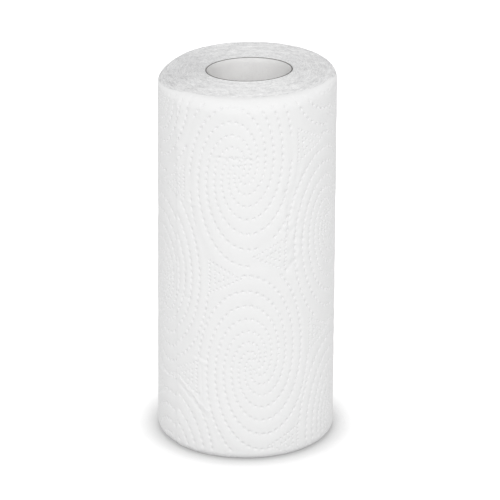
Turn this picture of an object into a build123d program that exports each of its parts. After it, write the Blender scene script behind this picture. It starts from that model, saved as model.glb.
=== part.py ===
from build123d import *
import os
from math import ceil, cos, degrees, floor, hypot, pi, radians, sin

# A roll of embossed kitchen towel that stands on its end. It is two pieces: the wound paper,
# which is one solid from its first turn to its loose end, and the card tube in its middle, which
# the pack has squashed to an oval. Millimetres, +Z up. The origin is under the roll's middle, on
# the surface it stands on, and -Y is the side with the loose end on its left.

os.makedirs("parts", exist_ok=True)

# The roll. Its rims are soft quarter circles, each made of a few narrow cone bands.
roll_height = 225.0
roll_radius = 52.0
top_shoulder = 6.0
base_shoulder = 4.5
shoulder_bands = 3

# The sheet: its turns run anticlockwise from the loose end, seen from above
sheet_thickness = 0.6
sheet_length = 225.0
tail_angle = 220.0

# The card tube, inside to inside, and how far its middle sits off the roll's
core_width = 49.2
core_depth = 38.0
core_wall = 0.7
core_shift = 1.1

# The line that shows between bundles of turns on both ends
turns_shown = 4
turn_line_width = 0.7
turn_line_depth = 0.8
turn_margin = 1.6
points_per_turn = 24

# The perforation that the next sheet tears along
slit_length = 6.5
slit_pitch = 10.0
slit_width = 0.5
slit_depth = 0.35

# The emboss: upright oval swirls, in columns that each stand lower than the one on the left.
# The first swirl's middle is given along the sheet from the roll's front, and up from its base.
first_swirl_along = 0.8
first_swirl_up = 62.0
column_step = 59.8
column_drop = 40.4
swirl_repeat = 121.0
swirl_slimness = 0.576

# A swirl's arms, as dashes pressed into the sheet, and how their rings grow apart
swirl_arms = 3
arm_start = 106.0
middle_reach = 1.5
ring_step = 11.6
ring_growth = 1.4
inner_ring = 0.3
outer_ring = 4.0
dashes_per_round = 8
dash_share = 0.66
dash_width = 2.1
dash_depth = 0.7
dash_lift = 0.4
keel_share = 0.6
dash_clearance = 2.5


def direction(angle):
    """The level unit vector at an angle in degrees from +X, anticlockwise."""
    return Vector(cos(radians(angle)), sin(radians(angle)), 0)


def shoulder_points(radius):
    """Points down a quarter circle: how far each is in from the side and from the end."""
    angles = [pi / 2 * band / shoulder_bands for band in range(shoulder_bands + 1)]
    return [(radius * (1 - sin(angle)), radius * (1 - cos(angle))) for angle in angles]


def turn_line(turns, side):
    """A point beside the line between turns, side being how far out from its middle.

    The line grows steadily from an oval round the tube to a circle inside the shoulder,
    while its centre moves from the tube's middle to the roll's.
    """
    grown = turns / turns_shown
    outer_end = roll_radius - top_shoulder - turn_margin
    inner_half_width = core_width / 2 + core_wall + turn_margin
    inner_half_depth = core_depth / 2 + core_wall + turn_margin
    half_width = inner_half_width + (outer_end - inner_half_width) * grown + side
    half_depth = inner_half_depth + (outer_end - inner_half_depth) * grown + side
    angle = radians(tail_angle) + 2 * pi * turns
    return (core_shift * (1 - grown) + half_width * cos(angle), half_depth * sin(angle))


def swirl_middles():
    """Every swirl's middle that can reach the sheet, as places along it and up the roll."""
    first_column = floor((-front_arc - first_swirl_along) / column_step)
    last_column = ceil((turn_length - front_arc - first_swirl_along) / column_step)
    middles = []
    for column in range(first_column, last_column + 1):
        height = (first_swirl_up - column_drop * column) % swirl_repeat - swirl_repeat
        while height < roll_height + swirl_repeat:
            middles.append((first_swirl_along + column_step * column, height))
            height += swirl_repeat
    return middles


def arm_point(middle, arm, ring):
    """A point on one arm of a swirl, ring being how many rings out it has come."""
    reach = middle_reach + ring_step * ring + ring_growth * ring**2
    angle = radians(arm_start) + 2 * pi * (ring - arm) / swirl_arms
    return (middle[0] + swirl_slimness * reach * cos(angle), middle[1] + reach * sin(angle))


def oval_distance(point, middle):
    """Distance from a swirl's middle, counted so that its ovals are all one distance out."""
    return hypot((point[0] - middle[0]) / swirl_slimness, point[1] - middle[1])


def has_room(start, end, middle, middles):
    """Whether a dash lies on the straight side, between the tears and in its own swirl."""
    low, high = sorted((start[1], end[1]))
    left, right = sorted((start[0], end[0]))
    on_side = base_shoulder + dash_clearance < low and high < roll_height - top_shoulder - dash_clearance
    before_tear = -front_arc + dash_clearance < left and right < tear_at - dash_clearance
    after_tear = tear_at + dash_clearance < left and right < turn_length - front_arc - dash_clearance
    if not on_side or not (before_tear or after_tear):
        return False
    others = [other for other in middles if other != middle]
    return all(
        oval_distance(point, middle) + dash_clearance < oval_distance(point, other)
        for point in (start, end)
        for other in others
    )


def dashes():
    """The two ends of every dash, in millimetres along the sheet from the front and up."""
    middles = swirl_middles()
    gap = swirl_arms / dashes_per_round
    steps = int((outer_ring - inner_ring) / gap)
    ends = []
    for middle in middles:
        for arm in range(swirl_arms):
            for step in range(steps):
                ring = inner_ring + gap * step
                start = arm_point(middle, arm, ring)
                end = arm_point(middle, arm, ring + gap * dash_share)
                if has_room(start, end, middle, middles):
                    ends.append((start, end))
    return ends


def dash_cutter(start, end):
    """A boat-shaped cutter whose keel lies under the sheet's surface from start to end."""
    run = (end[0] - start[0], end[1] - start[1])
    turned = degrees(((start[0] + end[0]) / 2 + front_arc) / roll_radius)
    outward = direction(tail_angle + turned)
    surface = roll_radius + centre_step / 2 - sheet_thickness * turned / 360
    seat = Plane(
        origin=outward * (surface - dash_depth) + Vector(0, 0, (start[1] + end[1]) / 2),
        x_dir=direction(tail_angle + turned + 90) * run[0] + Vector(0, 0, run[1]),
        z_dir=outward,
    )
    height = dash_depth + dash_lift
    keel = hypot(*run) * keel_share
    length = keel + (hypot(*run) - keel) * height / dash_depth
    width = dash_width * height / dash_depth
    boat = Wedge(
        length,
        height,
        width,
        (length - keel) / 2,
        width / 2,
        (length + keel) / 2,
        width / 2,
        rotation=(-90, 0, 0),
        align=(Align.CENTER, Align.MAX, Align.CENTER),
        mode=Mode.PRIVATE,
    )
    return seat.location * boat


# The outside is two half turns about centres that lie half a sheet apart, so that it is a
# spiral which meets itself in a step, one sheet deep, at the loose end
centre_step = sheet_thickness / 2
half_turns = [
    (roll_radius, tail_angle, direction(tail_angle) * centre_step / 2),
    (roll_radius - centre_step, tail_angle + 180, direction(tail_angle + 180) * centre_step / 2),
]

# Places along the sheet, from the middle of the roll's front
turn_length = 2 * pi * roll_radius
front_arc = roll_radius * radians(270 - tail_angle)
tear_at = sheet_length - front_arc

with BuildPart() as towel_roll:
    for radius, start, centre in half_turns:
        base_rim = [(radius - side, end) for side, end in shoulder_points(base_shoulder)]
        top_rim = [(radius - side, roll_height - end) for side, end in shoulder_points(top_shoulder)]
        upright = Plane(origin=centre, x_dir=direction(start), z_dir=direction(start - 90))
        with BuildSketch(upright):
            with BuildLine():
                Polyline((0, 0), *base_rim, *reversed(top_rim), (0, roll_height), close=True)
            make_face()
        revolve(axis=Axis(centre, (0, 0, 1)), revolution_arc=180)

    # The room for the tube
    with BuildSketch(Plane.XY):
        with Locations((core_shift, 0)):
            Ellipse(core_width / 2 + core_wall, core_depth / 2 + core_wall)
    extrude(amount=roll_height, mode=Mode.SUBTRACT)

    # The turns, as a spiral line sunk into each end
    steps = [i / points_per_turn for i in range(turns_shown * points_per_turn + 1)]
    outer_side = [turn_line(turns, turn_line_width / 2) for turns in steps]
    inner_side = [turn_line(turns, -turn_line_width / 2) for turns in reversed(steps)]
    for end_plane in (Plane.XY, Plane.XY.offset(roll_height - turn_line_depth)):
        with BuildSketch(end_plane):
            with BuildLine():
                Polyline(*outer_side, *inner_side, close=True)
            make_face()
        extrude(amount=turn_line_depth, mode=Mode.SUBTRACT)

    # The perforation, one sheet back from the loose end
    tear_angle = tail_angle + degrees(sheet_length / roll_radius)
    straight_side = roll_height - top_shoulder - base_shoulder
    slit_count = int(straight_side / slit_pitch)
    inward = Plane(
        origin=direction(tear_angle) * roll_radius + Vector(0, 0, base_shoulder + straight_side / 2),
        x_dir=(0, 0, 1),
        z_dir=direction(tear_angle),
    )
    with BuildSketch(inward):
        with GridLocations(slit_pitch, 0, slit_count, 1):
            Rectangle(slit_length, slit_width)
    extrude(amount=-(centre_step + slit_depth), mode=Mode.SUBTRACT)

    # The emboss
    cutters = [dash_cutter(start, end) for start, end in dashes()]
    add(cutters, mode=Mode.SUBTRACT)

towel_roll.part.label = "towel_roll"
export_step(towel_roll.part, "parts/towel_roll.step")

# The card tube, flush with both ends of the paper
with BuildPart() as core:
    with BuildSketch(Plane.XY):
        with Locations((core_shift, 0)):
            Ellipse(core_width / 2 + core_wall, core_depth / 2 + core_wall)
            Ellipse(core_width / 2, core_depth / 2, mode=Mode.SUBTRACT)
    extrude(amount=roll_height)

core.part.label = "core"
export_step(core.part, "parts/core.step")
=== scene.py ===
from math import cos, pi, radians, sin, sqrt

import bpy
import numpy as np
from mathutils import Matrix, Vector


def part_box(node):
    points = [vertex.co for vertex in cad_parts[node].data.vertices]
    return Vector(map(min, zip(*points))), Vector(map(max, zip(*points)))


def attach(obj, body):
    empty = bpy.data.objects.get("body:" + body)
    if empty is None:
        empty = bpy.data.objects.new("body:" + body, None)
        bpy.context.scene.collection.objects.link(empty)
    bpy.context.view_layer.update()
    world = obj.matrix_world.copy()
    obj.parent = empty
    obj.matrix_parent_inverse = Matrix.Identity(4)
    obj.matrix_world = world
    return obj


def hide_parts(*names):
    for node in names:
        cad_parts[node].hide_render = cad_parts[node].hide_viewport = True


# A roll of embossed kitchen towel, standing on its end. Shapes are worked out in millimetres,
# in the roll's own frame: +Z up, -Y towards the camera. MM turns them into metres.
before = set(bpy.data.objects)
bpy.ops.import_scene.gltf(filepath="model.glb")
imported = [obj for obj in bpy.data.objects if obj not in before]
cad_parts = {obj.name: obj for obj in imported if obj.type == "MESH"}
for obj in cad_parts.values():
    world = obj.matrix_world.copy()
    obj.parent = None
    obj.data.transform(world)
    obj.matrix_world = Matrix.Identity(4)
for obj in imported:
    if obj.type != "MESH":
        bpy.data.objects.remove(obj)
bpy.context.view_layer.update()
MM = 0.001

# The roll, read from the frame. Its loose edge stands at TAIL_ANGLE, anticlockwise from +X.
roll_low, roll_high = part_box("towel_roll")
core_low, core_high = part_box("core")
ROLL_HEIGHT = (roll_high.z - roll_low.z) / MM
SHEET = 0.6
ROLL_RADIUS = (roll_high.x - roll_low.x) / 2 / MM + SHEET / 2
BASE_SHOULDER = 4.5
TAIL_ANGLE = radians(220)
FRONT_ANGLE = radians(270)
TURN_LENGTH = 2 * pi * ROLL_RADIUS
FRONT_ARC = ROLL_RADIUS * (FRONT_ANGLE - TAIL_ANGLE)

# The card tube, read from the frame
CORE_WALL = 0.7
CORE_HALF_WIDTH = (core_high.x - core_low.x) / 2 / MM
CORE_HALF_DEPTH = (core_high.y - core_low.y) / 2 / MM
CORE_SHIFT = (core_high.x + core_low.x) / 2 / MM


def smoothstep(low, high, value):
    """0 below low, 1 above high, and a smooth cubic between them."""
    t = np.clip((value - low) / (high - low), 0, 1)
    return t * t * (3 - 2 * t)


def bell(value, width):
    """1 at zero, falling off smoothly over the width on both sides."""
    return np.exp(-(value / width) ** 2)


def waves(x, y, scale, count, seed):
    """Smooth random relief between about -1 and 1: a sum of plane waves in random directions.

    Their lengths lie between 0.6 and 1.6 times the scale.
    """
    draw = np.random.default_rng(seed)
    total = np.zeros(np.broadcast(x, y).shape)
    for _ in range(count):
        heading = draw.uniform(0, 2 * pi)
        wavelength = scale * draw.uniform(0.6, 1.6)
        phase = draw.uniform(0, 2 * pi)
        total += np.sin(2 * pi * (x * cos(heading) + y * sin(heading)) / wavelength + phase)
    return total / sqrt(count)


# The emboss: oval six-armed swirls of pressed dots on a skewed lattice, with small dotted
# triangles where three swirls meet. Positions are millimetres along the sheet and up the roll,
# with zero at the front of the roll. The columns lean, because the sheet was wound a little
# askew, and they stand closer together from the second one on.
SWIRL_COLUMNS = np.arange(-2, 8)
SWIRL_ROWS = np.arange(-4, 6)
FIRST_SWIRL = (0.8, 62.0)
COLUMN_STEP = 59.8
BACK_CLOSER = 8.6
COLUMN_DROP = -41.0
COLUMN_LEAN = -0.08
LEAN_LEVEL = 122.5
SWIRL_REPEAT = 121.0

# Handling has stretched the upper part of the sheet: sizes there and below, and the levels
# between which one goes over into the other
STRETCH_BELOW = 0.97
STRETCH_MORE = 0.07
STRETCH_LEVELS = (135.0, 175.0)

# A swirl's arms, counted in rings from its middle
SWIRL_ARMS = 6
SWIRL_RATIO = 0.576
ARM_START = radians(106)
ARM_REACH = (0.25, 8.5)
ARM_SAMPLES = 1500
RING_START = 1.5
RING_STEP = 5.8
RING_GROWTH = 0.35

# The dots of an arm. They grow from the first to the second of GROWN_RINGS, and stand further
# apart up to PITCH_RING.
DOT_PITCH = 2.6
PITCH_MORE = 1.7
PITCH_RING = 5.5
FIRST_DOT = 0.1
LOOK_AHEAD = 0.2
DOT_STAGGER = 0.15
GROWN_RINGS = (1.5, 6.0)
DOT_LENGTH = 1.3
LENGTH_MORE = 1.0
DOT_WIDTH = 1.25
WIDTH_MORE = 0.1
ARM_CLEARANCE = 1.5

# The dotted triangles, whose middles lie to both sides of the middle between two swirls. Each
# is made of rings of dots, given as their size and the dots on a side.
TRIANGLE_SIDE = 20.0
TRIANGLE_OUT = 16.8
TRIANGLE_SHIFT = 7.0
TRIANGLE_TIP = 0.75
TRIANGLE_RINGS = ((1.0, 8), (0.4, 3))
TRIANGLE_ROOM = 0.6
TRIANGLE_FLATNESS = 1.1
FINE_DOT = 1.15

# How deep the press goes, and how far round its middle a dot is worked out, in grid steps
DOT_DEPTH = 0.68
DOT_STEPS = 7
LONG_DOT_SHARE = 0.25
BOWL_POWER = 1.5
BOWL_FALL = 0.8


def swirl_centres():
    """Every swirl's middle: columns a step apart, each one dropped against the last."""
    column, row = np.meshgrid(SWIRL_COLUMNS, SWIRL_ROWS)
    z = FIRST_SWIRL[1] + SWIRL_REPEAT * row + COLUMN_DROP * column
    z = (z + SWIRL_REPEAT) % (len(SWIRL_ROWS) * SWIRL_REPEAT) - SWIRL_REPEAT
    x = FIRST_SWIRL[0] + COLUMN_STEP * column - BACK_CLOSER * np.maximum(column - 1, 0)
    x = x + COLUMN_LEAN * (z - LEAN_LEVEL)
    inside = z < ROLL_HEIGHT + SWIRL_REPEAT
    return np.stack([x[inside], z[inside]], -1)


def stretch(z):
    """How much larger a swirl is at a height: a smooth step between two levels."""
    return STRETCH_BELOW + STRETCH_MORE * smoothstep(*STRETCH_LEVELS, z)


def ring_radius(n):
    """Upright half-height of ring n: the rings grow apart steadily towards the outside."""
    return RING_START + RING_STEP * n + RING_GROWTH * n * n


def ring_number(radius):
    """The ring, as a fraction, at an upright radius: the inverse of ring_radius."""
    inner = np.maximum(RING_STEP**2 - 4 * RING_GROWTH * (RING_START - radius), 0)
    return (np.sqrt(inner) - RING_STEP) / (2 * RING_GROWTH)


def oval_distance(x, z, centre):
    """Distance from a swirl's middle, with the sideways part stretched to make ovals round."""
    return np.hypot((x - centre[0]) / SWIRL_RATIO, z - centre[1])


def nearest_two(x, z, centres):
    """For each point: the index of the nearest swirl, its distance and the next one's."""
    distances = np.stack([oval_distance(x, z, centre) for centre in centres])
    order = np.argpartition(distances, 1, axis=0)[:2]
    pair = np.take_along_axis(distances, order, axis=0)
    swap = pair[0] > pair[1]
    nearest = np.where(swap, order[1], order[0])
    return nearest, pair.min(0), pair.max(0)


def triangle_middles():
    """Middles of the dotted triangles, and which way each one points: +1 right, -1 left."""
    middles = []
    for x, z in swirl_centres():
        gap = z + SWIRL_REPEAT / 2
        between = x + COLUMN_LEAN * SWIRL_REPEAT / 2
        middles.append((between + TRIANGLE_OUT, gap + TRIANGLE_SHIFT, -1))
        middles.append((between - TRIANGLE_OUT, gap - TRIANGLE_SHIFT, 1))
    return np.array(middles)


def arm_dots(arm):
    """The dots of one arm about a middle at zero: x, z, heading, length and width.

    An arm turns a sixth of a round for each ring it crosses. Its dots stand at even steps of
    its length over the pitch, and are closer and smaller near the middle.
    """
    n = np.linspace(*ARM_REACH, ARM_SAMPLES)
    angle = ARM_START + 2 * pi * (n - arm) / SWIRL_ARMS
    x = SWIRL_RATIO * ring_radius(n) * np.cos(angle)
    z = ring_radius(n) * np.sin(angle)
    step = np.hypot(np.diff(x), np.diff(z))
    pitch = DOT_PITCH + PITCH_MORE * smoothstep(0, PITCH_RING, n[1:])
    count = np.concatenate([[0], np.cumsum(step / pitch)])
    places = np.arange(FIRST_DOT + DOT_STAGGER * arm, count[-1])
    dot_x, dot_z = np.interp(places, count, x), np.interp(places, count, z)
    ahead = places + LOOK_AHEAD
    ahead_x, ahead_z = np.interp(ahead, count, x), np.interp(ahead, count, z)
    heading = np.arctan2(ahead_z - dot_z, ahead_x - dot_x)
    grown = smoothstep(*GROWN_RINGS, np.interp(places, count, n))
    length = DOT_LENGTH + LENGTH_MORE * grown
    width = DOT_WIDTH + WIDTH_MORE * grown
    return np.stack([dot_x, dot_z, heading, length, width], -1)


def swirl_dots(centres):
    """The dots of every swirl: each arm stops where the next swirl or a triangle is near."""
    one = np.concatenate([arm_dots(arm) for arm in range(SWIRL_ARMS)])
    triangles = triangle_middles()
    dots = []
    for index, centre in enumerate(centres):
        placed = one.copy()
        placed[:, :2] = centre + one[:, :2] * stretch(centre[1])
        nearest, first, second = nearest_two(placed[:, 0], placed[:, 1], centres)
        keep = (nearest == index) & (second - first > ARM_CLEARANCE)
        for middle_x, middle_z, _ in triangles:
            down = (placed[:, 1] - middle_z) * TRIANGLE_FLATNESS
            keep &= np.hypot(placed[:, 0] - middle_x, down) > TRIANGLE_SIDE * TRIANGLE_ROOM
        dots.append(placed[keep])
    return np.concatenate(dots)


def triangle_dots():
    """Fine dots round each triangle, with a smaller triangle of dots inside it."""
    across = TRIANGLE_SIDE * sqrt(3) / 2
    base = -across / 3
    outline = [(base, TRIANGLE_SIDE / 2), (base, -TRIANGLE_SIDE / 2), (across * TRIANGLE_TIP, 0)]
    places = []
    for scale, per_side in TRIANGLE_RINGS:
        for index in range(3):
            start = np.array(outline[index]) * scale
            end = np.array(outline[(index + 1) % 3]) * scale
            steps = np.arange(per_side)[:, None] / per_side
            places.append(start + (end - start) * steps)
    one = np.concatenate(places)
    dots = []
    for middle_x, middle_z, points in triangle_middles():
        placed = np.zeros((len(one), 5))
        placed[:, 0] = middle_x + one[:, 0] * points
        placed[:, 1] = middle_z + one[:, 1]
        placed[:, 3:] = FINE_DOT
        dots.append(placed)
    return np.concatenate(dots)


def pressed_dots(x_axis, z_axis, dots):
    """Relative depth of the dots on a grid: each dot is an oval bowl with a soft rim.

    The bowl falls off as an exponential of a power of the distance over the dot's half size,
    and longer dots are pressed a little deeper. The deepest dot wins at each point.
    """
    field = np.zeros((len(z_axis), len(x_axis)))
    offsets = np.arange(-DOT_STEPS, DOT_STEPS + 1)
    near_x = np.searchsorted(x_axis, dots[:, 0])
    near_z = np.searchsorted(z_axis, dots[:, 1])
    ix = near_x[:, None, None] + offsets[None, None, :]
    iz = near_z[:, None, None] + offsets[None, :, None]
    ix, iz = np.broadcast_arrays(ix, iz)
    valid = (ix >= 0) & (ix < len(x_axis)) & (iz >= 0) & (iz < len(z_axis))
    middle_x, middle_z, heading, length, width = dots.T[:, :, None, None]
    dx = x_axis[np.clip(ix, 0, len(x_axis) - 1)] - middle_x
    dz = z_axis[np.clip(iz, 0, len(z_axis) - 1)] - middle_z
    along = (dx * np.cos(heading) + dz * np.sin(heading)) / (length / 2)
    across = (dz * np.cos(heading) - dx * np.sin(heading)) / (width / 2)
    size = (1 - LONG_DOT_SHARE) + LONG_DOT_SHARE * length / DOT_LENGTH
    bowl = size * np.exp(-((along**2 + across**2) ** BOWL_POWER) * BOWL_FALL)
    np.maximum.at(field, (iz[valid], ix[valid]), bowl[valid])
    return field


# The puffed paper between a swirl's arms. Places across the gap run from 0 on one arm to 1 on
# the next.
QUILT_EDGE = 9.0
PUFF = 0.05
PUFF_MORE = 0.11
RIDGE_HEIGHT = 0.05
RIDGE_RINGS = (3.5, 5.5)
RIDGE_PLACES = (0.36, 0.52)
RIDGE_WIDTH = 0.05


def quilting(x, z, centres):
    """Paper puffed up a little between the arms, with two fine ridges beside the outer arms."""
    nearest, first, second = nearest_two(x, z, centres)
    middle = centres[nearest]
    angle = np.arctan2(z - middle[..., 1], (x - middle[..., 0]) / SWIRL_RATIO)
    n = ring_number(first / stretch(middle[..., 1]))
    phase = (n - SWIRL_ARMS * (angle - ARM_START) / (2 * pi)) % 1
    edge = smoothstep(0, QUILT_EDGE, second - first)
    grown = smoothstep(*GROWN_RINGS, n)
    puff = (PUFF + PUFF_MORE * grown) * (0.5 - 0.5 * np.cos(2 * pi * phase))
    lines = sum(bell(phase - place, RIDGE_WIDTH) for place in RIDGE_PLACES)
    ridges = RIDGE_HEIGHT * smoothstep(*RIDGE_RINGS, n) * lines
    return (puff + ridges) * edge


# What handling has left in the outer sheet. A crease is given by its two ends, its width, its
# height, how far its path wanders and the seed of that.
FOLDS = (
    ((-14, 190.6), (5, 190.2), 0.7, -0.42, 0.9, 3),
    ((-22, 190.8), (-12, 190.6), 0.7, -0.18, 0.9, 4),
    ((-20, 192.6), (6, 192.2), 1.5, 0.16, 0.9, 3),
    ((-44, 46), (-20, 28), 1.0, 0.45, 0.5, 5),
    ((-43, 42), (-22, 25), 1.0, -0.35, 0.5, 5),
    ((-32, 63), (-22, 62), 0.9, -0.35, 0.3, 6),
    ((-32, 61), (-22, 60), 1.3, 0.3, 0.3, 6),
    ((-27, 58), (-26, 40), 0.8, -0.3, 0.3, 7),
    ((-44, 100), (-34, 98), 0.9, -0.3, 0.3, 8),
    ((-38, 160), (-29, 158), 0.9, 0.25, 0.3, 8),
)
PUCKERS = (
    ((21, 171), (25, 118), 1.6, 0.30, 0.8, 10),
    ((24, 171), (29, 122), 1.8, -0.25, 0.8, 11),
    ((TURN_LENGTH - 74, 41), (TURN_LENGTH - 40, 45), 1.0, 0.3, 0.4, 12),
)
CREASE_WANDER = 7.0
CREASE_WAVES = 4
CREASE_ENDS = (-2, 3)

# Dents: middle, how much wider they are along and up, radius and height
DENTS = (
    ((25.5, 121), (1.3, 1.0), 3.0, -0.7),
    ((27, 165), (1.0, 1.3), 3.4, -0.4),
)

# A crumpled patch: its middle, radius, how narrow and how tall it is, and its relief
CRUMPLE_PLACE = (29, 143)
CRUMPLE_RADIUS = 14
CRUMPLE_NARROW = 1.5
CRUMPLE_TALL = 2.2
CRUMPLE_HEIGHT = 0.22
CRUMPLE_RELIEF = (6.0, 9, 21)

# Kinks of the loose edge: how far they reach along the sheet, their level and height
EDGE_KINKS = ((4.0, 219, 0.5), (3.5, 204.5, 0.45), (3.0, 192.5, 0.5))
KINK_TALL = 2.2


def crease(x, z, start, end, width, height, wobble, seed):
    """A fold along a line: a narrow ridge or groove whose path wanders a little."""
    (x0, z0), (x1, z1) = start, end
    length = sqrt((x1 - x0) ** 2 + (z1 - z0) ** 2)
    along = ((x - x0) * (x1 - x0) + (z - z0) * (z1 - z0)) / length
    across = ((z - z0) * (x1 - x0) - (x - x0) * (z1 - z0)) / length
    across = across + wobble * waves(along, 0 * along, CREASE_WANDER, CREASE_WAVES, seed)
    ends = smoothstep(*CREASE_ENDS, along) * smoothstep(*CREASE_ENDS, length - along)
    return height * bell(across, width) * ends


def handling_marks(x, z):
    """The folds, dents, puckers and kinks of the outer sheet, added up."""
    marks = np.zeros(x.shape)
    for fold in FOLDS:
        marks += crease(x, z, *fold)
    for (dent_x, dent_z), (wide, tall), radius, height in DENTS:
        marks += height * bell(np.hypot((x - dent_x) / wide, (z - dent_z) / tall), radius)
    along = (x - CRUMPLE_PLACE[0]) * CRUMPLE_NARROW
    crumple = bell(np.hypot(along, (z - CRUMPLE_PLACE[1]) / CRUMPLE_TALL), CRUMPLE_RADIUS)
    marks += crumple * CRUMPLE_HEIGHT * waves(x, z, *CRUMPLE_RELIEF)
    for pucker in PUCKERS:
        marks += crease(x, z, *pucker)
    from_edge = x + FRONT_ARC
    for reach, level, height in EDGE_KINKS:
        spot = bell((from_edge - reach / 2) / reach, 1) * bell((z - level) / KINK_TALL, 1)
        marks += height * spot * (from_edge >= 0)
    return marks


# The perforation, one sheet back from the loose edge
SHEET_LENGTH = 225.0
SLIT_LENGTH = 6.5
SLIT_PITCH = 10.0
SLIT_WIDTH = 0.45
SLIT_SHARE = 0.9
SLITS_FROM = 6.75

# How loosely the outer turn lies, where the emboss fades at the rims, and the sheet's own soft
# relief: height, scale, number of waves and seed
LOOSE = 0.38
BASE_FADE = (1.0, 10.0)
TOP_FADE = (2.0, -6.0)
FADED_DOTS = 0.3
BROAD_RELIEF = (0.08, 26.0, 10, 31)
FINE_RELIEF = (0.02, 7.0, 12, 32)


def perforation(x, z):
    """Slits at an even pitch up the roll, one sheet back from the loose edge: 1 in their middle."""
    in_slit = np.abs((z - SLITS_FROM) / SLIT_PITCH % 1 - 0.5) < SLIT_LENGTH / SLIT_PITCH / 2
    return bell(x - (SHEET_LENGTH - FRONT_ARC), SLIT_WIDTH) * in_slit


def emboss(x_axis, z_axis):
    """Height of the outer surface over the plain roll, and how far the dots press it, on a grid."""
    centres = swirl_centres()
    x, z = np.meshgrid(x_axis, z_axis)
    dots = np.concatenate([swirl_dots(centres), triangle_dots()])
    top_start, top_end = (ROLL_HEIGHT + level for level in TOP_FADE)
    rims = smoothstep(*BASE_FADE, z) * smoothstep(top_start, top_end, z)
    pressed = pressed_dots(x_axis, z_axis, dots) * (FADED_DOTS + (1 - FADED_DOTS) * rims)
    pressed = np.maximum(pressed, SLIT_SHARE * perforation(x, z) * rims)
    height = LOOSE + quilting(x, z, centres) * rims - DOT_DEPTH * pressed
    for share, scale, count, seed in (BROAD_RELIEF, FINE_RELIEF):
        height += share * waves(x, z, scale, count, seed)
    height += handling_marks(x, z)
    return height, pressed


# Meshes
def surface_normals(points):
    """Unit normals of a grid of points: the cross product of its two directions."""
    across = np.gradient(points, axis=1)
    along = np.gradient(points, axis=0)
    normals = np.cross(across, along)
    return normals / np.maximum(np.linalg.norm(normals, axis=-1, keepdims=True), 1e-12)


def face_corners(grid):
    """What a grid holds at the four corners of each of its faces, one face after another."""
    corners = [grid[:-1, :-1], grid[:-1, 1:], grid[1:, 1:], grid[1:, :-1]]
    return np.stack(corners, 2).reshape(-1, 4, *grid.shape[2:])


def grid_object(name, points, uv, normals=None, pressed=None, round_rows=None, round_columns=None):
    """A mesh of four-sided faces on a grid of points, rows by columns, in metres.

    Rows or columns that close round are given what the map gains in the whole round.
    """
    rows, columns = points.shape[:2]
    index = np.arange(rows * columns).reshape(rows, columns)
    if round_rows is not None:
        index = np.concatenate([index, index[:1]], 0)
        uv = np.concatenate([uv, uv[:1] + round_rows], 0)
    if round_columns is not None:
        index = np.concatenate([index, index[:, :1]], 1)
        uv = np.concatenate([uv, uv[:, :1] + round_columns], 1)
    quads = face_corners(index)
    mesh = bpy.data.meshes.new(name)
    mesh.vertices.add(rows * columns)
    mesh.vertices.foreach_set("co", (points * MM).astype(np.float32).ravel())
    mesh.loops.add(quads.size)
    mesh.loops.foreach_set("vertex_index", quads.astype(np.int32).ravel())
    mesh.polygons.add(len(quads))
    mesh.polygons.foreach_set("loop_start", np.arange(0, quads.size, 4, dtype=np.int32))
    mesh.update(calc_edges=True)
    layer = mesh.uv_layers.new(name="surface")
    layer.data.foreach_set("uv", face_corners(uv).astype(np.float32).ravel())
    mesh.polygons.foreach_set("use_smooth", np.ones(len(quads), bool))
    if normals is not None:
        mesh.normals_split_custom_set_from_vertices(normals.reshape(-1, 3).astype(np.float32))
    if pressed is not None:
        mask = mesh.attributes.new("pressed", "FLOAT", "POINT")
        mask.data.foreach_set("value", pressed.astype(np.float32).ravel())
    piece = bpy.data.objects.new(name, mesh)
    bpy.context.scene.collection.objects.link(piece)
    return piece


# The upper rim: its radius at the sides and behind and what it gains in front, and how far the
# outer turn reaches over it at the sides, and more in front and behind
TOP_SHOULDER = 4.5
FRONT_SHOULDER = 3.6
SIDE_SLOPE = radians(32)
FRONT_SLOPE = radians(58)
BACK_SLOPE = radians(20)
SLOPE_POWER = 0.7

# How the upper end leans to the right, is domed round the tube and droops on the left. The lean
# sets in between two levels, given as millimetres under the roll's top.
TOP_LEAN = 0.025
LEAN_DEPTHS = (70, 5)
END_DOME = 1.1
DOME_RIM = 5
LEFT_DROOP = 1.5
DROOP_FROM = -30
DROOP_DEPTH = 14


def facing_front(theta):
    """How far a direction round the roll faces the front: 1 there, 0 at the sides and behind."""
    return np.maximum(-np.sin(theta), 0)


def top_shoulder(theta):
    """Radius of the upper rim, which handling has rounded most at the front."""
    return TOP_SHOULDER + FRONT_SHOULDER * facing_front(theta) ** 2


def top_edge_slope(theta):
    """How far over the upper rim the outer turn reaches, as an angle: furthest at the front."""
    behind = np.maximum(np.sin(theta), 0)
    return SIDE_SLOPE + FRONT_SLOPE * facing_front(theta) ** SLOPE_POWER + BACK_SLOPE * behind


def top_lean(x, radius, z):
    """How far a point near the upper end moves: the end leans up to the right, and is domed."""
    lean_start, lean_full = (ROLL_HEIGHT - depth for depth in LEAN_DEPTHS)
    near_top = smoothstep(lean_start, lean_full, z)
    dome = END_DOME * smoothstep(ROLL_RADIUS - DOME_RIM, CORE_HALF_WIDTH, radius)
    at_top = smoothstep(ROLL_HEIGHT - DROOP_DEPTH, ROLL_HEIGHT, z)
    droop = LEFT_DROOP * smoothstep(DROOP_FROM, -ROLL_RADIUS, x) * at_top
    return near_top * (TOP_LEAN * x + dome) - droop


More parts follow.
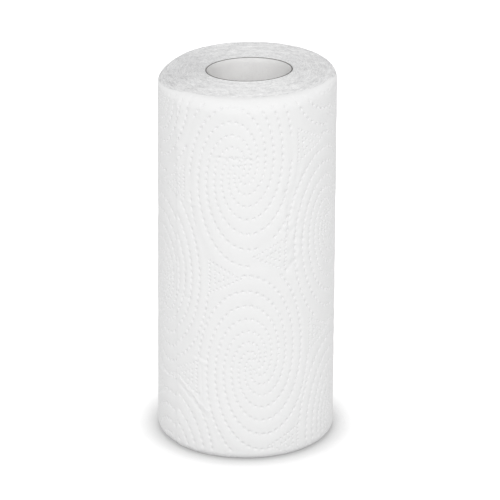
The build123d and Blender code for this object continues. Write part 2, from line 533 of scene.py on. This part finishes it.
# The outer turn's grid: steps along the sheet where it shows and at the perforation, steps
# elsewhere, and steps up the roll
OUTER_PIECES = 5
FINE_STEP = 0.33
COARSE_STEP = 0.8
ROW_STEP = 0.45
SEEN_RIGHT = radians(86)
SEEN_LEFT = radians(90)
TEAR_MARGIN = 2
EDGE_POINTS = 5
UNDER_TAIL = 7.0
UNDER_REACH = radians(66)
TOP_REACH = 5.0
SPREAD_DEPTH = 40.0
SPREAD_FADE = (1.0, 0.93)
FLOOR_GAP = 0.02

# How the loose edge stands off: over what width, how far low down and how much more above the
# two levels, and how that wanders up the roll
EDGE_LIFT_WIDTH = 4.0
EDGE_LIFT = 0.05
EDGE_LIFT_MORE = 0.12
EDGE_LIFT_LEVELS = (120, 200)
EDGE_LIFT_WAVES = (30.0, 5, 41)


def turn_columns():
    """Places along the sheet, from the loose edge, and how far each is sunk: its edge is round.

    They are close in front and at the perforation, and wider round the back.
    """
    edge_turn = np.linspace(pi, 0, EDGE_POINTS + 1)[:-1]
    edge = -SHEET / 2 * np.sin(edge_turn)
    edge_drop = -SHEET / 2 * (1 - np.cos(edge_turn))
    right_front = FRONT_ARC + ROLL_RADIUS * SEEN_RIGHT
    left_front = TURN_LENGTH + FRONT_ARC - ROLL_RADIUS * SEEN_LEFT
    body = np.concatenate([
        np.arange(0, right_front, FINE_STEP),
        np.arange(right_front, SHEET_LENGTH - TEAR_MARGIN, COARSE_STEP),
        np.arange(SHEET_LENGTH - TEAR_MARGIN, SHEET_LENGTH + TEAR_MARGIN, FINE_STEP),
        np.arange(SHEET_LENGTH + TEAR_MARGIN, left_front, COARSE_STEP),
        np.arange(left_front, TURN_LENGTH + UNDER_TAIL, FINE_STEP),
    ])
    return edge, edge_drop, body


def edge_lift(s, q):
    """How far the loose edge stands off the turn under it, more so near the top."""
    grown = smoothstep(*EDGE_LIFT_LEVELS, q)[:, None]
    lift = bell(s, EDGE_LIFT_WIDTH) * (EDGE_LIFT + EDGE_LIFT_MORE * grown)
    lift *= 1 + 0.5 * waves(q[:, None], 0 * q[:, None], *EDGE_LIFT_WAVES)
    return lift * (s < TURN_LENGTH / 2)


def outer_turn(material):
    """The outer turn of the sheet, from its loose edge round to where it runs under itself.

    Columns follow the spiral, whose radius falls by one sheet in a turn. Rows follow the side
    of the roll and both of its soft rims, and those over the upper rim are spread to end where
    the turn ends. The height map moves each point along the surface's own normal. The turn is
    made as pieces that share their edges.
    """
    edge, edge_drop, body = turn_columns()
    s = np.concatenate([edge, body])
    drop = np.concatenate([edge_drop, 0 * body])
    theta = TAIL_ANGLE + s / ROLL_RADIUS

    spread_from = ROLL_HEIGHT - SPREAD_DEPTH
    q = np.arange(BASE_SHOULDER * (1 - UNDER_REACH), ROLL_HEIGHT + TOP_REACH, ROW_STEP)
    shoulder = top_shoulder(theta)[None, :]
    q_end = ROLL_HEIGHT - shoulder + shoulder * top_edge_slope(theta)[None, :]
    spread = np.maximum(q - spread_from, 0)[:, None] / (q[-1] - spread_from)
    place = np.minimum(q, spread_from)[:, None] + spread * (q_end - spread_from)

    height, pressed = emboss(body - FRONT_ARC, q)
    nearest_column = np.maximum(np.arange(len(s)) - len(edge), 0)
    height = height[:, nearest_column]
    pressed = pressed[:, nearest_column]
    height += drop[None, :] + edge_lift(s, q)
    height *= smoothstep(*SPREAD_FADE, spread)

    side = np.clip(place, BASE_SHOULDER, ROLL_HEIGHT - shoulder)
    over = np.maximum(place - (ROLL_HEIGHT - shoulder), 0) / shoulder
    under = np.minimum(place - BASE_SHOULDER, 0) / BASE_SHOULDER
    slope = over + under
    sag = shoulder * (1 - np.cos(over)) + BASE_SHOULDER * (1 - np.cos(under))
    rise = shoulder * np.sin(over) + BASE_SHOULDER * np.sin(under)

    radius = ROLL_RADIUS - SHEET * s / TURN_LENGTH
    level = radius[None, :] - sag + height * np.cos(slope)
    x = level * np.cos(theta)[None, :]
    y = level * np.sin(theta)[None, :]
    z = side + rise + height * np.sin(slope)
    z = np.maximum(z + top_lean(x, level, z), FLOOR_GAP)
    points = np.stack([x, y, z], -1)
    normals = surface_normals(points)
    uv = np.stack([s[None, :] + 0 * place, place], -1)

    pieces = []
    ends = np.linspace(0, len(s) - 1, OUTER_PIECES + 1).astype(int)
    for number in range(OUTER_PIECES):
        part = slice(ends[number], ends[number + 1] + 1)
        name = f"outer_turn_{number + 1}"
        piece = grid_object(name, points[:, part], uv[:, part], normals[:, part], pressed[:, part])
        piece.data.materials.append(material)
        pieces.append(piece)
    return pieces


# The cut ends of the wound paper: their turns, the gap round the tube, how far they reach under
# the outer turn and lie under the roll's true ends
END_TURNS = 40
GAP_WIDTH = 0.35
GAP_DEPTH = 5.0
TOP_TUCK = 0.4
BASE_TUCK = 0.5
TOP_SUNK = 0.12
BASE_SUNK = 0.25
BASE_GAP = 0.05
FALL_LIMIT = 0.97

# Their relief: short and long streaks as height and length, patches as height, scale and number
# of waves, and the groove between turns as depth and width. It fades at both borders.
SHORT_STREAKS = (0.08, 9)
LONG_STREAKS = (0.07, 30)
PATCHES = (0.14, 9.0, 14)
GROOVE = (0.08, 0.22)
TUBE_FADE = (0, 0.04)
RIM_FADE = (1, 0.90)
TOP_SEED = 51
BASE_SEED = 61


def short_streaks(rows, columns, length, seed):
    """Random relief on a grid that closes round: smoothed along the columns only."""
    draw = np.random.default_rng(seed)
    field = draw.normal(0, 1, (rows, columns))
    waves_round = np.fft.rfft(field, axis=1)
    wave = np.arange(waves_round.shape[1])[None, :]
    smooth = np.fft.irfft(waves_round * np.exp(-((wave * length / columns) ** 2)), columns, axis=1)
    return smooth / smooth.std()


def cut_edges(x, y, turn, rows, columns, seed):
    """Relief of the cut edges: streaks along the turns, knife patches and the turns' groove."""
    relief = SHORT_STREAKS[0] * short_streaks(rows, columns, SHORT_STREAKS[1], seed)
    relief += LONG_STREAKS[0] * short_streaks(rows, columns, LONG_STREAKS[1], seed + 1)
    patches = PATCHES[0] * waves(x, y, *PATCHES[1:], seed + 2)
    groove = GROOVE[0] * bell((turn % 1) - 0.5, GROOVE[1]) - GROOVE[0]
    return relief + patches + groove


def wound_end(name, material, top, rows, columns):
    """One end of the wound paper: the cut edges of its turns, from the tube to the outer turn.

    Rows grow from the tube's oval to the outer turn's edge. The first row is the bottom of the
    narrow gap round the tube. Near the outer turn the end follows the soft rim, which falls
    away as a quarter circle.
    """
    t = np.concatenate([[0], np.linspace(0, 1, rows - 1)])[:, None]
    theta = np.linspace(0, 2 * pi, columns, endpoint=False)[None, :]
    if top:
        shoulder = top_shoulder(theta)
        outer = ROLL_RADIUS - shoulder * (1 - np.cos(top_edge_slope(theta))) + TOP_TUCK
    else:
        shoulder = BASE_SHOULDER + 0 * theta
        outer = ROLL_RADIUS - BASE_SHOULDER * BASE_TUCK
    half_width = (CORE_HALF_WIDTH + GAP_WIDTH) * (1 - t) + outer * t
    half_depth = (CORE_HALF_DEPTH + GAP_WIDTH) * (1 - t) + outer * t
    x = CORE_SHIFT * (1 - t) + half_width * np.cos(theta)
    y = half_depth * np.sin(theta)

    turn = t * END_TURNS + (theta - TAIL_ANGLE) / (2 * pi)
    relief = cut_edges(x, y, turn, rows, columns, TOP_SEED if top else BASE_SEED)
    relief = relief * smoothstep(*TUBE_FADE, t) * smoothstep(*RIM_FADE, t)
    relief[0] -= GAP_DEPTH
    radius = np.hypot(x, y)
    past = np.clip(radius - (ROLL_RADIUS - shoulder), 0, shoulder * FALL_LIMIT)
    fall = shoulder - np.sqrt(shoulder**2 - past**2)
    if top:
        z = ROLL_HEIGHT - TOP_SUNK - fall + relief
        z = z + top_lean(x, radius, z)
    else:
        z = np.maximum(BASE_SUNK + fall - relief, BASE_GAP)
    points = np.stack(np.broadcast_arrays(x, y, z), -1)
    uv = np.stack(np.broadcast_arrays(turn, theta), -1)
    if top:
        points = points[::-1]
        uv = uv[::-1]
    piece = grid_object(name, points, uv, round_columns=(1, 2 * pi))
    piece.data.materials.append(material)
    return piece


# The tube's grid, how far it is sunk in the upper end, and the step of its spiral seam: how far
# up it climbs in a round, where it starts, its height, and how it rises and fades
TUBE_COLUMNS = 160
TUBE_ROWS = 70
RIM_POINTS = 3
TUBE_SUNK = 0.1
SEAM_CLIMB = 92.0
SEAM_START = 0.35
SEAM_STEP = 0.18
SEAM_RISE = (0, 0.012)
SEAM_FADE = (0.5, 0.06)


def card_tube(material):
    """The card tube: an oval wall with rounded cut rims and a step along its wound seam.

    The profile goes up the inside, over the upper rim, down the outside and round the lower
    rim. The numbers kept in "pressed" are 1 on the cut rims.
    """
    around = np.linspace(0, 2 * pi, TUBE_COLUMNS, endpoint=False)[:, None]
    rows = np.linspace(0, 1, TUBE_ROWS)
    rim = np.linspace(0, pi, RIM_POINTS + 2)[1:-1]
    half = CORE_WALL / 2
    tube_top = ROLL_HEIGHT - TUBE_SUNK
    inset = np.concatenate([
        half + 0 * rows,
        half * np.cos(rim),
        [-half, -half],
        -half * np.cos(rim),
    ])
    height = np.concatenate([
        half + rows * (tube_top - 2 * half),
        tube_top - half + half * np.sin(rim),
        [tube_top - half, half],
        half - half * np.sin(rim),
    ])
    inset = inset[None, :]
    height = height[None, :]
    seam = (height / SEAM_CLIMB + around / (2 * pi) + SEAM_START) % 1
    step = SEAM_STEP * smoothstep(*SEAM_RISE, seam) * smoothstep(*SEAM_FADE, seam)
    wall = half + inset - step * (inset > 0)
    x = CORE_SHIFT + (CORE_HALF_WIDTH - wall) * np.cos(around)
    y = (CORE_HALF_DEPTH - wall) * np.sin(around)
    z = height + 0 * around
    z = z + top_lean(x, np.hypot(x, y), z)
    points = np.stack([x, y, z], -1)
    uv = np.stack(np.broadcast_arrays(around, height), -1)
    cut = (np.abs(height - tube_top / 2) > tube_top / 2 - half + 0.01) * np.ones_like(x)
    closing = {"round_rows": (2 * pi, 0), "round_columns": (0, 0)}
    piece = grid_object("card_tube", points, uv, pressed=cut, **closing)
    piece.data.materials.append(material)
    return piece


# Finishes
class Shade:
    """An output of a node: arithmetic on it adds Math nodes."""

    def __init__(self, nodes, socket):
        self.nodes = nodes
        self.socket = socket

    def math(self, operation, *values):
        return self.nodes.add("ShaderNodeMath", {"operation": operation}, dict(enumerate(values)))

    def __add__(self, other):
        return self.math("ADD", self, other)

    def __radd__(self, other):
        return self.math("ADD", other, self)

    def __sub__(self, other):
        return self.math("SUBTRACT", self, other)

    def __rsub__(self, other):
        return self.math("SUBTRACT", other, self)

    def __mul__(self, other):
        return self.math("MULTIPLY", self, other)

    def __rmul__(self, other):
        return self.math("MULTIPLY", other, self)

    def cosine(self):
        return self.math("COSINE", self)

    def sine(self):
        return self.math("SINE", self)


class Nodes:
    """The node tree of a material or a world."""

    def __init__(self, tree):
        self.tree = tree

    def add(self, kind, settings=None, inputs=None, output=0):
        """A node with its settings made first, then each input set or linked."""
        node = self.tree.nodes.new(kind)
        for key, value in (settings or {}).items():
            setattr(node, key, value)
        for key, value in (inputs or {}).items():
            self.feed(node.inputs[key], value)
        return Shade(self, node.outputs[output])

    def feed(self, socket, value):
        """Set a socket to a value, or link it to another node's output."""
        if isinstance(value, Shade):
            self.tree.links.new(value.socket, socket)
        else:
            socket.default_value = value

    def seen(self):
        """1 for rays that show something to the camera, straight or in a mirror or glass."""
        rays = self.tree.nodes.new("ShaderNodeLightPath")
        kinds = ("Is Camera Ray", "Is Glossy Ray", "Is Transmission Ray")
        camera, glossy, transmission = (Shade(self, rays.outputs[kind]) for kind in kinds)
        return camera + glossy + transmission


class Finish(Nodes):
    """A material whose nodes feed one Principled shader."""

    def __init__(self, name, roughness, specular):
        self.material = bpy.data.materials.new(name)
        self.material.use_nodes = True
        super().__init__(self.material.node_tree)
        self.shader = self.tree.nodes["Principled BSDF"]
        self.feed(self.shader.inputs["Roughness"], roughness)
        self.feed(self.shader.inputs["Specular IOR Level"], specular)

    def surface_map(self):
        """The piece's own map: millimetres on the sheet, turn and angle on the ends."""
        return self.add("ShaderNodeUVMap", {"uv_map": "surface"})

    def place(self, scale):
        """The surface's own map, scaled along and across."""
        settings = {"operation": "MULTIPLY"}
        return self.add("ShaderNodeVectorMath", settings, {0: self.surface_map(), 1: scale})

    def around(self, number):
        """One number of the surface's own map: the first or the second."""
        return self.add("ShaderNodeSeparateXYZ", {}, {0: self.surface_map()}, output=number)

    def pressed(self):
        """What the mesh keeps in "pressed": dots on the sheet, cut rims on the tube."""
        return self.add("ShaderNodeAttribute", {"attribute_name": "pressed"}, output=2)

    def noise(self, place, detail=3.0, scale=1.0):
        """Soft random variation from 0 to 1."""
        inputs = {"Vector": place, "Scale": scale, "Detail": detail}
        return self.add("ShaderNodeTexNoise", {}, inputs)

    def colour(self, factor, low, high):
        """The base colour, from low to high as the factor goes from 0 to 1."""
        inputs = {"Factor": factor, 6: (*low, 1), 7: (*high, 1)}
        mixed = self.add("ShaderNodeMix", {"data_type": "RGBA"}, inputs, output=2)
        self.feed(self.shader.inputs["Base Color"], mixed)

    def bump(self, height, distance):
        """Fine relief, in metres."""
        normal = self.add("ShaderNodeBump", {}, {"Height": height, "Distance": distance})
        self.feed(self.shader.inputs["Normal"], normal)


PAPER_DIM = (0.86, 0.86, 0.862)
PAPER_WHITE = (0.93, 0.93, 0.93)
EDGE_DIM = (0.64, 0.64, 0.645)
EDGE_WHITE = (1.0, 1.0, 1.0)
CARD_DARK = (0.16, 0.155, 0.15)
CARD_PALE = (0.99, 0.985, 0.98)


def paper_finish():
    """White two-ply tissue: fine crepe lines up the roll, and painted shade that darkens the dots.
    """
    finish = Finish("embossed_paper", roughness=0.92, specular=0.2)
    crepe = finish.noise(finish.place((2.6, 0.7, 1)), detail=4.0)
    fibres = finish.noise(finish.place((1.5, 1.3, 1)), detail=5.0, scale=1.7)
    clouds = finish.noise(finish.place((0.06, 0.05, 1)), detail=2.0)
    pressed = finish.pressed()
    finish.bump(crepe * 0.6 + fibres * 0.4, 0.00012)
    # The pressed dots and perforation slits are darkened in the colour: painted shade in the pits.
    tone = clouds * 0.4 + fibres * 0.2 + 0.4 - pressed * pressed * 0.45
    finish.colour(tone, PAPER_DIM, PAPER_WHITE)
    return finish.material


def edge_finish():
    """The cut edges of the turns: the same paper, mottled and streaked along the turns.

    Painted shade makes it darker at the sides, where one looks along the turns and between
    them, and a little darker behind and on the left.
    """
    finish = Finish("paper_edges", roughness=0.95, specular=0.15)
    streaks = finish.noise(finish.place((1.3, 14.0, 1)), detail=3.0)
    patches = finish.noise(finish.place((0.22, 3.4, 1)), detail=2.0)
    fuzz = finish.noise(finish.place((2.5, 70.0, 1)), detail=3.0)
    angle = finish.around(1)
    right = angle.cosine()
    behind = angle.sine()
    finish.bump(fuzz, 0.0002)
    grain = streaks * 1.7 + patches * 0.9 + fuzz * 1.4 - 1.33
    # Painted shade by the angle round the roll: darker at the sides, behind and on the left.
    tone = grain - right * right * 0.25 + right * 0.08 - behind * 0.08
    finish.colour(tone, EDGE_DIM, EDGE_WHITE)
    return finish.material


def card_finish():
    """Pale paperboard with fibre specks, painted shade at the oval's ends, and grey cut rims
    deepened by painted shade.
    """
    finish = Finish("pale_card", roughness=0.85, specular=0.2)
    specks = finish.noise(finish.place((40.0, 1.2, 1)), detail=5.0)
    clouds = finish.noise(finish.place((3.0, 0.1, 1)), detail=2.0)
    finish.bump(specks, 0.0001)
    broad_side_light = finish.around(0).sine()
    cut = finish.pressed()
    # Painted shade: lighter on the oval's broad sides and darker at its ends. The cut rims are
    # dark, partly from the card's own grey cut edge and partly from painted shade of the gap round
    # the tube.
    tone = specks * 0.05 + clouds * 0.05 + broad_side_light * broad_side_light * 0.23 + 0.74 - cut * 1.5
    finish.colour(tone, CARD_DARK, CARD_PALE)
    return finish.material


# Stage, in metres. The floor carries a painted contact shadow: its tone falls to a share of itself
# at the contact, CONTACT_TONE as it shows, BOUNCE_TONE in the light that it throws back.
FLOOR_SIZE = 6.0
FLOOR_TONE = 0.9
FLOOR_GLOW = 0.6
CONTACT_REACH = 0.036
CONTACT_TONE = 0.44
BOUNCE_TONE = 0.7
WORLD_STRENGTH = 0.70
LIGHT_SIZE = 1.4
KEY_PLACE = (0.0, -1.8, 2.2)
KEY_POWER = 20.5
FILL_PLACE = (0.0, -2.6, 1.0)
FILL_POWER = 2.5


def white_floor():
    """A wide white floor with a painted contact shadow where the roll stands close over it.

    Rays that show it see it brightened, so that it fades into the background, and the painted
    contact shadow makes it darker at the contact than the painted shade in the light that it
    throws back on the roll. Under the rim half of the sky is hidden and more, so the occlusion
    counts from there.
    """
    mesh = bpy.data.meshes.new("floor")
    size = FLOOR_SIZE
    corners = [(-size, -size, 0), (size, -size, 0), (size, size, 0), (-size, size, 0)]
    mesh.from_pydata(corners, [], [(0, 1, 2, 3)])
    floor = bpy.data.objects.new("floor", mesh)
    bpy.context.scene.collection.objects.link(floor)
    finish = Finish("white_floor", roughness=1.0, specular=0.0)
    reach = {"Distance": CONTACT_REACH}
    occlusion = finish.add("ShaderNodeAmbientOcclusion", {"samples": 16}, reach, output=1)
    # The occlusion darkens the floor's colour and glow into a painted contact shadow.
    openness = occlusion.math("MAXIMUM", occlusion * 2 - 1, 0.0)
    shade = openness * (1 - CONTACT_TONE) + CONTACT_TONE
    glow = finish.add("ShaderNodeEmission", {}, {"Color": shade, "Strength": FLOOR_GLOW})
    shaded = finish.add("ShaderNodeBsdfDiffuse", {}, {"Color": shade * FLOOR_TONE})
    bright = finish.add("ShaderNodeAddShader", {}, {0: shaded, 1: glow})
    # Painted shade: the floor's colour in bounced light is darker near the contact.
    finish.colour(openness, (FLOOR_TONE * BOUNCE_TONE,) * 3, (FLOOR_TONE,) * 3)
    plain = Shade(finish, finish.shader.outputs[0])
    shown = finish.add("ShaderNodeMixShader", {}, {0: finish.seen(), 1: plain, 2: bright})
    finish.feed(finish.tree.nodes["Material Output"].inputs["Surface"], shown)
    mesh.materials.append(finish.material)


def studio_world():
    """Even white surroundings: plain white where they show, weaker as a light."""
    world = bpy.data.worlds.new("studio")
    bpy.context.scene.world = world
    world.use_nodes = True
    nodes = Nodes(world.node_tree)
    background = nodes.tree.nodes["Background"]
    nodes.feed(background.inputs["Color"], (1, 1, 1, 1))
    blend = nodes.add("ShaderNodeMix", {}, {0: nodes.seen(), 2: WORLD_STRENGTH, 3: 1.0})
    nodes.feed(background.inputs["Strength"], blend)


def soft_light(name, place, power):
    """A square soft light at a place in metres, aimed at the middle of the roll."""
    light = bpy.data.lights.new(name, "AREA")
    light.shape = "SQUARE"
    light.size = LIGHT_SIZE
    light.energy = power
    lamp = bpy.data.objects.new(name, light)
    bpy.context.scene.collection.objects.link(lamp)
    aim = Vector((0, 0, ROLL_HEIGHT / 2 * MM)) - Vector(place)
    turned = aim.to_track_quat("-Z", "Y").to_matrix().to_4x4()
    lamp.matrix_world = Matrix.Translation(place) @ turned


# The camera, from a fit to the roll's outline: millimetres behind the front and up, radians
# down, to the side and about its own axis
CAMERA_BACK = 2692.8
CAMERA_HEIGHT = 1247.4
CAMERA_TILT = 0.399
CAMERA_PAN = 0.00084
CAMERA_ROLL = 0.0059
FOCAL_PIXELS = 4960.2
PHOTO_PIXELS = 500
SENSOR_WIDTH = 36.0
CLIP_END = 50


def photo_camera():
    """The camera at the photograph's place, looking down at the roll from the front."""
    tilt, pan, roll = CAMERA_TILT, CAMERA_PAN, CAMERA_ROLL
    ahead = Vector((sin(pan) * cos(tilt), cos(pan) * cos(tilt), -sin(tilt)))
    right = Vector((cos(pan), -sin(pan), 0))
    up = right.cross(ahead)
    turned_right = right * cos(roll) + up * sin(roll)
    turned_up = up * cos(roll) - right * sin(roll)
    data = bpy.data.cameras.new("photo_camera")
    data.sensor_width = SENSOR_WIDTH
    data.lens = FOCAL_PIXELS / PHOTO_PIXELS * SENSOR_WIDTH
    data.clip_end = CLIP_END
    camera = bpy.data.objects.new("photo_camera", data)
    bpy.context.scene.collection.objects.link(camera)
    axes = Matrix((turned_right, turned_up, -ahead)).transposed().to_4x4()
    camera.matrix_world = Matrix.Translation((0, -CAMERA_BACK * MM, CAMERA_HEIGHT * MM)) @ axes
    bpy.context.scene.camera = camera


photo_camera()

paper = paper_finish()
edges = edge_finish()
card = card_finish()

paper_pieces = outer_turn(paper)
paper_pieces.append(wound_end("upper_end", edges, top=True, rows=104, columns=560))
paper_pieces.append(wound_end("lower_end", edges, top=False, rows=60, columns=280))
for piece in paper_pieces:
    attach(piece, "root")
    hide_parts("towel_roll")

tube = card_tube(card)
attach(tube, "root")
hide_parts("core")

white_floor()
studio_world()
soft_light("key", KEY_PLACE, KEY_POWER)
soft_light("fill", FILL_PLACE, FILL_POWER)

bpy.context.scene.view_settings.view_transform = "Standard"
